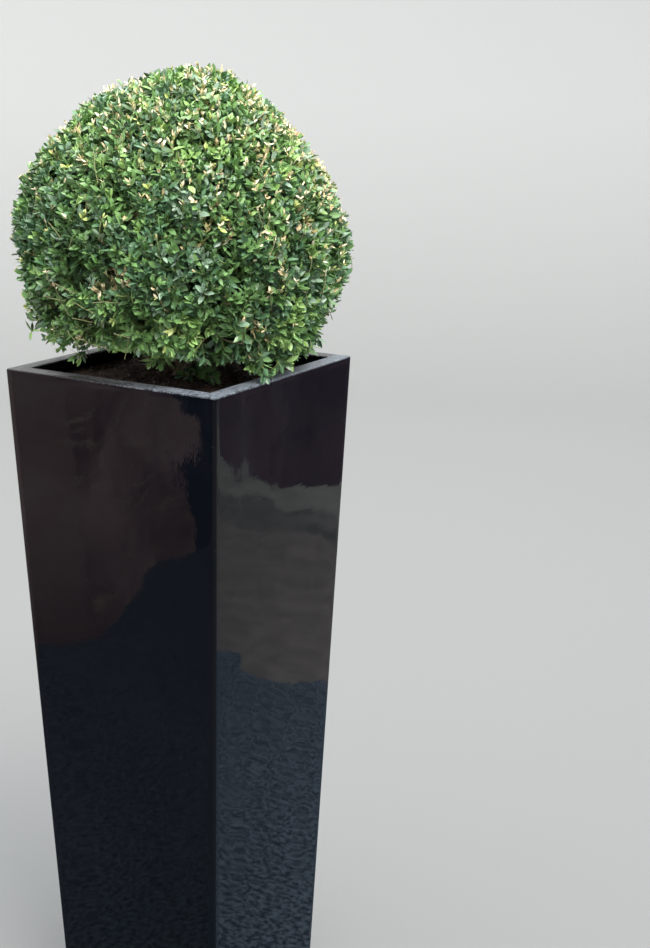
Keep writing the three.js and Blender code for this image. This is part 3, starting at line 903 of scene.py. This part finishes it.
co = line[:, None] + ring[..., None] * np.stack([np.cos(a), np.sin(a), 0 * a], -1)[None]
idx = np.arange(len(zs) * sides).reshape(len(zs), sides)
q = np.stack([idx[:-1], np.roll(idx[:-1], -1, 1), np.roll(idx[1:], -1, 1), idx[1:]], -1).reshape(-1, 4)
co = np.concatenate([co.reshape(-1, 3), line[-1:] + [[0, 0, 0.002]], line[:1]])
top, foot = len(co) - 2, len(co) - 1
fan = np.stack([idx[-1], np.roll(idx[-1], -1), np.full(sides, top)], -1)
fan2 = np.stack([np.roll(idx[0], -1), idx[0], np.full(sides, foot)], -1)
stem = mesh_object("stem_bark", co, [q, np.concatenate([fan, fan2])], True, bark)
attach(stem, BODY), stem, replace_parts(stem, "stem")
for k, b in enumerate(bough_lines):
    fine = bezier(b[:1], (2 * b[4:5] - 0.5 * b[:1] - 0.5 * b[-1:]), b[-1:], 24)
    rr = np.linspace(0.0065, 0.0048, 24)[None]
    v, q = tubes(fine, rr, 20, ridged(fine, rr, 20, 20 + k))
    cap = len(v)
    v = np.concatenate([v, fine[0, -1:]])
    last = np.arange(20) + 23 * 20
    o = mesh_object(f"bough_{k + 1}_bark", v, [q, np.stack([last, np.roll(last, -1), np.full(20, cap)], -1)], True, bark)
    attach(o, BODY), o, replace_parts(o, f"bough_{k + 1}")

# ------------------------------------------------------------------ planter
HEIGHT, RIM, FOOT, WALL, FLOOR = 1.120, 0.380, 0.296, 0.008, 0.012
LIP_W, LIP_H, LIP_SPLAY = 0.027, 0.016, 0.006
CORNER_R, MOUTH_R, INNER_R = 0.005, 0.004, 0.006


def outer_half(z):
    return (FOOT + (RIM - FOOT) * z / HEIGHT) / 2


CORNER_N, EDGE_N = 10, 48


def square_ring(half, r, z):
    """A rounded square with points along its sides too, anticlockwise from above."""
    pts = []
    for k in range(4):
        a0 = -math.pi / 2 + k * math.pi / 2
        cx = math.sqrt(2) * (half - r) * math.cos(a0 + math.pi / 4)
        cy = math.sqrt(2) * (half - r) * math.sin(a0 + math.pi / 4)
        for i in range(CORNER_N + 1):
            a = a0 + math.pi / 2 * i / CORNER_N
            pts.append((cx + r * math.cos(a), cy + r * math.sin(a), z))
        nx = math.sqrt(2) * (half - r) * math.cos(a0 + 3 * math.pi / 4)
        ny = math.sqrt(2) * (half - r) * math.sin(a0 + 3 * math.pi / 4)
        a = a0 + math.pi / 2
        x0, y0 = cx + r * math.cos(a), cy + r * math.sin(a)
        x1, y1 = nx + r * math.cos(a), ny + r * math.sin(a)
        for i in range(1, EDGE_N):
            pts.append((x0 + (x1 - x0) * i / EDGE_N, y0 + (y1 - y0) * i / EDGE_N, z))
    return np.array(pts)


rings, wavy = [], []
for i in range(7):
    a = math.pi / 2 * i / 6
    z = 0.003 * (1 - math.cos(a))
    ins = 0.003 * (1 - math.sin(a))
    rings.append(square_ring(outer_half(z) - ins, CORNER_R - ins, z)), wavy.append(0.0)
for z in np.linspace(0.012, HEIGHT - 0.012, 130):
    rings.append(square_ring(outer_half(z), CORNER_R, z)), wavy.append(1.0)
for i in range(7):
    a = math.pi / 2 * i / 6
    z = HEIGHT - 0.003 * (1 - math.sin(a))
    ins = 0.003 * (1 - math.cos(a))
    rings.append(square_ring(outer_half(z) - ins, CORNER_R - ins, z)), wavy.append(0.0)
mouth = RIM / 2 - LIP_W
for f in (0.25, 0.5, 0.75):
    h = (RIM / 2 - 0.003) * (1 - f) + (mouth + 0.002) * f
    rings.append(square_ring(h, MOUTH_R, HEIGHT)), wavy.append(0.0)
for i in range(5):
    a = math.pi / 2 * i / 4
    rings.append(square_ring(mouth + 0.002 * (1 - math.sin(a)), MOUTH_R, HEIGHT - 0.002 * (1 - math.cos(a)))), wavy.append(0.0)
lip_foot = HEIGHT - LIP_H
rings.append(square_ring(mouth, MOUTH_R, lip_foot)), wavy.append(0.0)
rings.append(square_ring(outer_half(lip_foot - LIP_SPLAY) - WALL, INNER_R, lip_foot - LIP_SPLAY)), wavy.append(0.0)
rings.append(square_ring(outer_half(1.05) - WALL, INNER_R, 1.05)), wavy.append(0.0)
rings.append(square_ring(outer_half(FLOOR) - WALL, INNER_R, FLOOR)), wavy.append(0.0)
co = np.array(rings)
# hand-laid panels are never quite flat
field_c, field_d = waves(31, 18), waves(32, 18)
centre_xy = co[..., :2] / np.maximum(np.linalg.norm(co[..., :2], axis=-1, keepdims=True), 1e-9)
face_n = np.where(np.abs(co[..., 0:1]) > np.abs(co[..., 1:2]), np.stack([np.sign(co[..., 0]), 0 * co[..., 0]], -1), np.stack([0 * co[..., 0], np.sign(co[..., 1])], -1))
edge_fade = np.clip((outer_half(co[..., 2]) - np.minimum(np.abs(co[..., 0]), np.abs(co[..., 1]))) / 0.07, 0, 1)
edge_fade = np.minimum(edge_fade, np.clip((HEIGHT - co[..., 2]) / 0.05, 0, 1))
swell = (field_c(co, 0.36) * 0.00045 + field_d(co, 0.12) * 0.00010 - 0.0005) * edge_fade * np.array(wavy)[:, None]
co[..., :2] += face_n * swell[..., None]
rows, cols = co.shape[:2]
idx = np.arange(rows * cols).reshape(rows, cols)
q = np.stack([idx[:-1], np.roll(idx[:-1], -1, 1), np.roll(idx[1:], -1, 1), idx[1:]], -1).reshape(-1, 4)
flat = np.concatenate([co.reshape(-1, 3), [[0, 0, 0.0]], [[0, 0, FLOOR]]])
bottom = np.stack([np.roll(idx[0], -1), idx[0], np.full(cols, rows * cols)], -1)
inside = np.stack([idx[-1], np.roll(idx[-1], -1), np.full(cols, rows * cols + 1)], -1)

mat, t, s = material("planter_gelcoat")
g = Graph(t)
oc = g.coords()
zed = g.node("ShaderNodeSeparateXYZ")
g.link(oc, zed.inputs[0])
height = zed.outputs["Z"]
cloud = g.noise(oc, 5.5, 4, 0.55)
smear = g.noise(g.stretch(oc, 1, 1, 0.25), 22, 4, 0.6)
dust_n = g.noise(oc, 60, 5, 0.65)
fine_n = g.noise(oc, 240, 4, 0.7)
body_colour = g.mix(g.span(cloud, 0.35, 0.65), srgb(2, 4, 8), srgb(5, 6, 10))
# the rim's top: dusty, fully by the near corner and along the +X side and elsewhere mostly towards its inner edge; by
# the near corner and along the +X side the dust is painted lighter and bluish, a painted reflection of the sky
px, py = zed.outputs["X"], zed.outputs["Y"]
from_edge = g.math("SUBTRACT", RIM / 2, g.math("MAXIMUM", g.math("ABSOLUTE", px), g.math("ABSOLUTE", py)))
dx, dy = g.math("SUBTRACT", px, 0.19), g.math("ADD", py, 0.19)
corner = g.math("SQRT", g.math("ADD", g.math("MULTIPLY", dx, dx), g.math("MULTIPLY", dy, dy)))
# by the near corner and along the +X side: fuller dust, painted lighter and bluish as a reflection of the sky
dust_and_sheen_zone = g.math("MAXIMUM", g.span(corner, 0.24, 0.08), g.span(px, 0.155, 0.165))
inner = g.span(g.math("ADD", from_edge, g.span(dust_n, 0.3, 0.7, -0.007, 0.007)), 0.009, 0.016)
top_mask = g.span(height, HEIGHT - 0.0026, HEIGHT - 0.0004)
# the dust's cover, fuller by the near corner and on the +X side, where its lighter colour is painted reflection
amount = g.math("MULTIPLY", g.math("MAXIMUM", g.math("MAXIMUM", dust_and_sheen_zone, 0.38), g.math("MULTIPLY", inner, 0.75)), g.span(g.math("MULTIPLY", g.math("ADD", dust_n, fine_n), 0.5), 0.38, 0.54, 0.45, 1.0))
dust = g.math("MULTIPLY", top_mask, amount)
# a lighter, mottled line along the outer arris near the near corner: painted highlight, partly wear
arris_wear_and_highlight = g.math("MULTIPLY", g.math("MULTIPLY", g.span(height, HEIGHT - 0.0034, HEIGHT - 0.0022), g.span(from_edge, 0.0040, 0.0026)), g.math("MULTIPLY", g.span(corner, 0.34, 0.10), g.span(fine_n, 0.42, 0.58, 0.1, 0.75)))
streak = g.math("MULTIPLY", g.span(height, 0.95, HEIGHT, 0.0, 1.0), g.span(smear, 0.52, 0.75, 0.0, 0.035))
foot_dust = g.math("MULTIPLY", g.span(height, 0.16, 0.0, 0.0, 1.0), g.span(dust_n, 0.35, 0.75, 0.01, 0.12))
speck = g.math("MULTIPLY", g.span(g.noise(oc, 420, 2, 0.6), 0.730, 0.750, 0.0, 0.35), g.math("MAXIMUM", g.span(height, 0.86, 1.05), g.span(g.noise(oc, 6, 2), 0.50, 0.62)))
dust_sheen_and_highlight = g.math("MAXIMUM", g.math("MAXIMUM", dust, arris_wear_and_highlight), g.math("MAXIMUM", g.math("MAXIMUM", streak, foot_dust), speck))
brownish = g.ramp(fine_n, (0.35, srgb(58, 54, 56)), (0.65, srgb(100, 96, 98)))
# the dust's colour by the near corner and on the +X side: lighter and bluish, a painted reflection of the sky;
# elsewhere darker and brownish
bluish_dust_and_sheen = g.ramp(fine_n, (0.35, srgb(76, 81, 89)), (0.65, srgb(128, 134, 142)))
dust_and_sheen_colour = g.mix(dust_and_sheen_zone, brownish, bluish_dust_and_sheen)
g.link(g.mix(dust_sheen_and_highlight, body_colour, dust_and_sheen_colour), s.inputs["Base Color"])
g.link(g.math("ADD", g.span(dust_sheen_and_highlight, 0.0, 1.0, 0.0, 0.55), g.span(smear, 0.35, 0.8, 0.012, 0.05)), s.inputs["Roughness"])
wave_h = g.noise(oc, 7.5, 2, 0.4)
ripple = g.noise(oc, 26, 2, 0.45)
fine_ripple = g.noise(g.stretch(oc, 10, 10, 62), 1.0, 3, 0.55)
peel = g.noise(oc, 240, 2, 0.5)
b1 = g.bump(wave_h, 0.20, 0.004)
b2 = g.bump(ripple, 0.065, 0.0012, b1)
b3 = g.bump(fine_ripple, 0.065, 0.0006, b2)
b4 = g.bump(peel, 0.04, 0.0003, b3)
g.link(g.bump(dust, 0.30, 0.0006, b4), s.inputs["Normal"])
s.inputs["IOR"].default_value = 1.27
planter = mesh_object("planter_shell", flat, [q, np.concatenate([bottom, inside])], True, mat)
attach(planter, BODY), planter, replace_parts(planter, "planter")

# ------------------------------------------------------------------ compost
SOIL_Z = 1.096
half = outer_half(SOIL_Z) - WALL - 0.0004
n = 150
x = np.linspace(-half, half, n)
X, Y = np.meshgrid(x, x, indexing="ij")
P = np.stack([X, Y, 0 * X], -1)
f1, f2, f3, f4 = waves(41), waves(42), waves(43), waves(44)
H = 0.0028 * f1(P, 0.09) + 0.0018 * f2(P, 0.03) + 0.0011 * f3(P, 0.012) + 0.0007 * f4(P, 0.006)
r_axis = np.hypot(X, Y)
H += 0.006 * np.exp(-((r_axis / 0.07) ** 2))
Z = SOIL_Z - 0.003 + H
co = np.stack([X, Y, Z], -1).reshape(-1, 3)
idx = np.arange(n * n).reshape(n, n)
q = np.stack([idx[:-1, :-1], idx[1:, :-1], idx[1:, 1:], idx[:-1, 1:]], -1).reshape(-1, 4)
border = np.concatenate([idx[:, 0], idx[-1, 1:], idx[-2::-1, -1], idx[0, -2:0:-1]])
low_z = FLOOR + 0.0004
low_half = outer_half(low_z) - WALL - 0.0004
low = co[border] * np.array([low_half / half, low_half / half, 0]) + np.array([0, 0, low_z])
b_low = np.arange(len(border)) + len(co)
side_q = np.stack([np.roll(border, -1), border, b_low, np.roll(b_low, -1)], -1)
co = np.concatenate([co, low, [[0, 0, low_z]]])
fan = np.stack([np.roll(b_low, -1), b_low, np.full(len(b_low), len(co) - 1)], -1)
mat, t, s = material("compost")
g = Graph(t)
oc = g.coords()
crumb = g.noise(oc, 190, 5, 0.7)
patchy = g.noise(oc, 28, 3)
fibre = g.noise(g.stretch(oc, 1, 0.2, 1), 500, 2, 0.5, distort=1.5)
dark = g.ramp(crumb, (0.32, srgb(38, 30, 29)), (0.55, srgb(82, 66, 59)), (0.75, srgb(132, 113, 101)))
dry = g.ramp(crumb, (0.32, srgb(58, 45, 39)), (0.55, srgb(112, 90, 76)), (0.75, srgb(164, 141, 121)))
col = g.mix(g.span(patchy, 0.5, 0.68), dark, dry)
g.link(g.mix(g.span(fibre, 0.72, 0.76, 0.0, 0.6), col, srgb(140, 118, 88)), s.inputs["Base Color"])
s.inputs["Roughness"].default_value = 0.95
g.link(g.bump(crumb, 0.9, 0.0025), s.inputs["Normal"])
soil = mesh_object("compost_top", co, [q, side_q, fan], True, mat)
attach(soil, BODY), soil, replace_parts(soil, "compost")


def soil_height(px, py):
    p = np.stack([px, py, 0 * px], -1)
    return (
        SOIL_Z - 0.003 + 0.0028 * f1(p, 0.09) + 0.0018 * f2(p, 0.03) + 0.0011 * f3(p, 0.012) + 0.0007 * f4(p, 0.006) + 0.006 * np.exp(-((np.hypot(px, py) / 0.07) ** 2))
    )


# crumbs of compost and pale grit
ico = bmesh.new()
bmesh.ops.create_icosphere(ico, subdivisions=1, radius=1.0)
ico_v = np.array([v.co for v in ico.verts])
ico_f = np.array([[v.index for v in f.verts] for f in ico.faces])
ico.free()


def lumps(count, size_lo, size_hi, flat_share, seed, spots=None):
    r = np.random.default_rng(seed)
    px, py = r.uniform(-half + 0.008, half - 0.008, (2, count)) if spots is None else spots
    size = r.uniform(size_lo, size_hi, count)
    shape = 1 + 0.28 * r.normal(size=(count, len(ico_v)))
    v = ico_v[None] * shape[..., None] * size[:, None, None]
    v[..., 2] *= flat_share
    ang = r.uniform(0, 2 * np.pi, count)
    c, s_ = np.cos(ang)[:, None], np.sin(ang)[:, None]
    vx = v[..., 0] * c - v[..., 1] * s_
    vy = v[..., 0] * s_ + v[..., 1] * c
    v = np.stack([vx * r.uniform(0.7, 1.7, (count, 1)), vy, v[..., 2]], -1)
    v[..., 0] += px[:, None]
    v[..., 1] += py[:, None]
    v[..., 2] += (soil_height(px, py) + size * flat_share * 0.35)[:, None]
    lim = half - 0.001
    v[..., :2] = np.clip(v[..., :2], -lim, lim)
    f = (np.arange(count)[:, None, None] * len(ico_v) + ico_f[None]).reshape(-1, 3)
    return v.reshape(-1, 3), f


v, f = lumps(520, 0.0014, 0.0042, 0.7, 51)
crumbs = mesh_object("compost_crumbs", v, f, True, mat)
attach(crumbs, BODY), crumbs
grit_m, t, s = material("pale_grit")
g = Graph(t)
g.link(g.ramp(g.noise(g.coords(), 300, 3), (0.35, srgb(168, 160, 146)), (0.65, srgb(224, 218, 206))), s.inputs["Base Color"])
s.inputs["Roughness"].default_value = 0.9
v, f = lumps(60, 0.0008, 0.0019, 0.8, 52)
grit_o = mesh_object("compost_grit", v, f, True, grit_m)
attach(grit_o, BODY), grit_o

# ------------------------------------------------------------------ floor, light
# one pale surface: a level floor that sweeps up into a round backdrop
SWEEP = [(0.0, 0.0), (1.0, 0.0), (2.0, 0.0), (3.5, 0.0), (5.0, 0.0)]
for i in range(1, 13):
    a = math.pi / 2 * i / 12
    SWEEP.append((5.0 + 3.0 * math.sin(a), 3.0 * (1 - math.cos(a))))
SWEEP += [(8.0, 4.5), (8.0, 6.0)]
turns = 96
a = np.arange(turns) * 2 * np.pi / turns
prof = np.array(SWEEP[1:])
co = np.stack([prof[:, None, 0] * np.cos(a), prof[:, None, 0] * np.sin(a), prof[:, None, 1] + 0 * a - 0.0005], -1)
idx = np.arange(len(prof) * turns).reshape(len(prof), turns)
q = np.stack([idx[:-1], np.roll(idx[:-1], -1, 1), np.roll(idx[1:], -1, 1), idx[1:]], -1).reshape(-1, 4)
fan = np.stack([np.full(turns, len(prof) * turns), idx[0], np.roll(idx[0], -1)], -1)
fm, t, s = material("floor")
g = Graph(t)
zed = g.node("ShaderNodeSeparateXYZ")
g.link(g.coords(), zed.inputs[0])
g.link(g.ramp(g.span(zed.outputs["Z"], 0.0, 4.0), (0.0, (0.205, 0.205, 0.202)), (0.35, (0.29, 0.29, 0.287)), (1.0, (0.38, 0.38, 0.376))), s.inputs["Base Color"])
s.inputs["Roughness"].default_value = 0.9
s.inputs["Specular IOR Level"].default_value = 0.0
floor = mesh_object("floor", np.concatenate([co.reshape(-1, 3), [[0, 0, -0.0005]]]), [q[:, ::-1], fan], True, fm)

# boards and floor cards that only the gloss mirrors: out of the camera's sight, and no part of the light
def card_material(name, dark, light, size, lines=0.0, contrast=0.15, low=1.0):
    m, t, s = material(name)
    g = Graph(t)
    oc = g.coords()
    col = g.ramp(g.noise(oc, size, 3), (0.5 - contrast, dark), (0.5 + contrast, light))
    if lines:
        wavy_line = g.math("ABSOLUTE", g.math("SUBTRACT", g.noise(g.stretch(oc, 1.6, 1.6, 11.0), 1.0, 2, 0.5), 0.5))
        col = g.mix(g.span(wavy_line, 0.012, 0.002, 0.0, lines), col, (1.0, 0.80, 0.66))
    if low < 1.0:
        zed = g.node("ShaderNodeSeparateXYZ")
        g.link(oc, zed.inputs[0])
        col = g.mix(g.span(zed.outputs["Z"], 0.0, 0.35, 1.0 - low, 0.0), col, (0.02, 0.02, 0.02))
    g.link(col, s.inputs["Base Color"])
    s.inputs["Roughness"].default_value = 0.9
    return m


def unseen(o):
    o.visible_camera = o.visible_diffuse = o.visible_shadow = False


def board(name, foot, height, mat):
    """An upright board over a line of points on the floor."""
    foot = np.array([[x, y, 0.0] for x, y in foot])
    pts = np.concatenate([foot, foot + UP * height])
    i = np.arange(len(foot) - 1)
    unseen(mesh_object(name, pts, np.stack([i, i + 1, i + 1 + len(foot), i + len(foot)], -1), False, mat))


def card(name, x0, x1, y0, y1, z, mat, ragged=0.0):
    """A level card just over the floor, with a ragged edge along y1."""
    x = np.linspace(x0, x1, 60)
    edge = y1 + ragged * (waves(61)(np.stack([x, 0 * x, 0 * x], -1), 0.22) + 0.5 * waves(62)(np.stack([x, 0 * x, 0 * x], -1), 0.07))
    pts = np.concatenate([np.stack([x, 0 * x + y0, 0 * x + z], -1), np.stack([x, edge, 0 * x + z], -1)])
    i = np.arange(59)
    unseen(mesh_object(name, pts, np.stack([i, i + 1, i + 61, i + 60], -1), False, mat))


board("board_right", [(0.2, 2.95), (1.25, 2.86), (1.53, 2.72), (1.56, 2.60), (1.61, 2.54), (1.63, 2.50), (1.70, 2.44), (1.79, 2.49), (1.92, 2.64), (2.06, 2.76), (2.24, 2.92), (2.55, 3.25), (3.1, 4.0)], 2.2, card_material("board_dark", srgb(112, 97, 112), srgb(140, 118, 134), 4.0))
board("board_left", [(-1.17, -0.5), (-1.17, -1.24), (-1.07, -1.33)], 2.2, card_material("board_light_brown", srgb(228, 190, 192), srgb(255, 226, 226), 4.0, 0.8, 0.15, 0.50))
board("board_left_2", [(-1.07, -1.33), (-1.13, -1.59), (-1.18, -1.80), (-1.19, -1.945)], 2.2, card_material("board_brown", srgb(166, 134, 140), srgb(236, 204, 208), 4.0, 0.8, 0.15, 0.66))
board("board_far", [(-1.19, -1.945), (-1.0, -2.33), (-0.6, -2.64)], 2.2, card_material("board_black", srgb(72, 84, 108), srgb(90, 102, 128), 2.0))
mottled = card_material("card_mottled", (0.032, 0.052, 0.076), (0.205, 0.268, 0.350), 92, 0.0, 0.11)
dim = card_material("card_dim", (0.036, 0.050, 0.070), (0.126, 0.162, 0.216), 92, 0.0, 0.12)
card("card_left", -1.9, 0.14, -0.16, -2.6, 0.0010, dim)
card("card_near", 0.16, 2.4, -0.6, 1.17, 0.0010, mottled, 0.05)
card("card_middle", 0.16, 2.8, 1.00, 2.30, 0.0006, card_material("card_warm", (0.220, 0.202, 0.196), (0.305, 0.28, 0.268), 14), 0.05)
card("card_seam", 0.16, 2.8, 2.10, 2.30, 0.0008, card_material("card_shade", (0.15, 0.15, 0.15), (0.25, 0.245, 0.24), 11), 0.05)
card("card_back", 0.16, 3.2, 2.20, 2.95, 0.0002, card_material("card_pale", (0.27, 0.28, 0.26), (0.36, 0.37, 0.345), 7))

world = bpy.data.worlds.new("studio")
bpy.context.scene.world = world
world.use_nodes = True
bg = world.node_tree.nodes["Background"]
bg.inputs["Color"].default_value = (0.93, 0.97, 1.0, 1)
bg.inputs["Strength"].default_value = 3.3


def sun(name, direction, strength, angle, colour):
    lamp = bpy.data.lights.new(name, "SUN")
    lamp.energy, lamp.angle, lamp.color = strength, math.radians(angle), colour
    o = bpy.data.objects.new(name, lamp)
    bpy.context.scene.collection.objects.link(o)
    o.rotation_euler = (-Vector(direction)).to_track_quat("-Z", "Y").to_euler()
    return o


sun("soft_key", tuple(0.45 * RIGHT + 0.75 * TOWARDS + 1.0 * UP), 3.4, 35, (1.0, 0.97, 0.92))

scene = bpy.context.scene
scene.view_settings.view_transform = "Standard"
scene.view_settings.look = "None"
